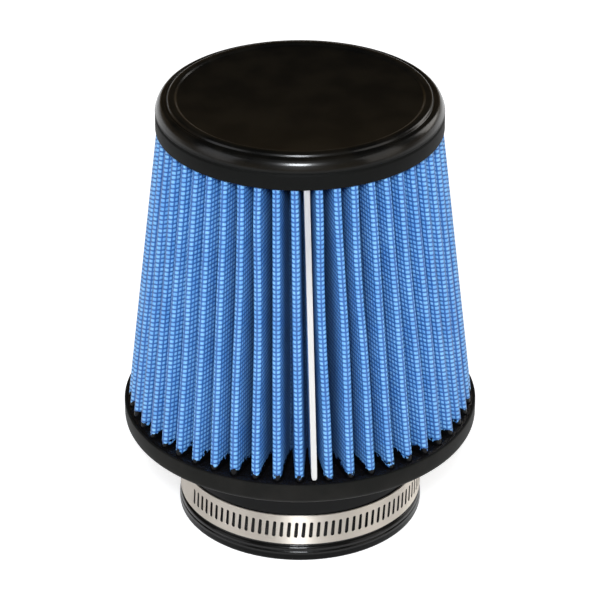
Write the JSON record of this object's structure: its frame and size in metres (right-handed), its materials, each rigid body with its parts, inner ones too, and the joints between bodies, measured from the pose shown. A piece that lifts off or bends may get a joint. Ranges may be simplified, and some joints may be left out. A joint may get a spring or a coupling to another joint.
{
  "type": "cone air filter",
  "caption": "Tapered pleated air filter with a moulded cap and base, and a clamp-on neck that slips over an intake tube and is held by a worm-drive band.",
  "frame": {"origin": "centre of the neck's mouth, on the plane of the lip's foot that the filter stands on", "axes": "+Z along the filter's axis towards the cap, -Y towards the sheet's seam side that the picture shows, +Y towards the clamp's screw"},
  "size_m": [0.153, 0.153, 0.1964],
  "materials": {
    "moulded_base": "matte moulded polyurethane",
    "moulded_cap": "glossy moulded polyurethane on top, matte on the skirt",
    "filter_gauze": "oiled blue cotton gauze between fine wire screens",
    "seam_metal": "plain rolled strip",
    "clamp_steel": "satin stainless strip",
    "screw_steel": "plated, turned and slotted"
  },
  "bodies": {
    "filter": {"base_flange": "moulded_base", "top_cap": "moulded_cap", "pleated_media": "filter_gauze", "seam_clip": "seam_metal", "clamp_band": "clamp_steel", "clamp_housing": "clamp_steel"},
    "screw": {"clamp_screw": "screw_steel"}
  },
  "joints": [
    {"name": "screw_turn", "type": "hinge", "parent": "filter", "child": "screw", "pos_m": [0, 0.05755, 0.01565], "axis": [1, 0, 0], "continuous": true}
  ]
}
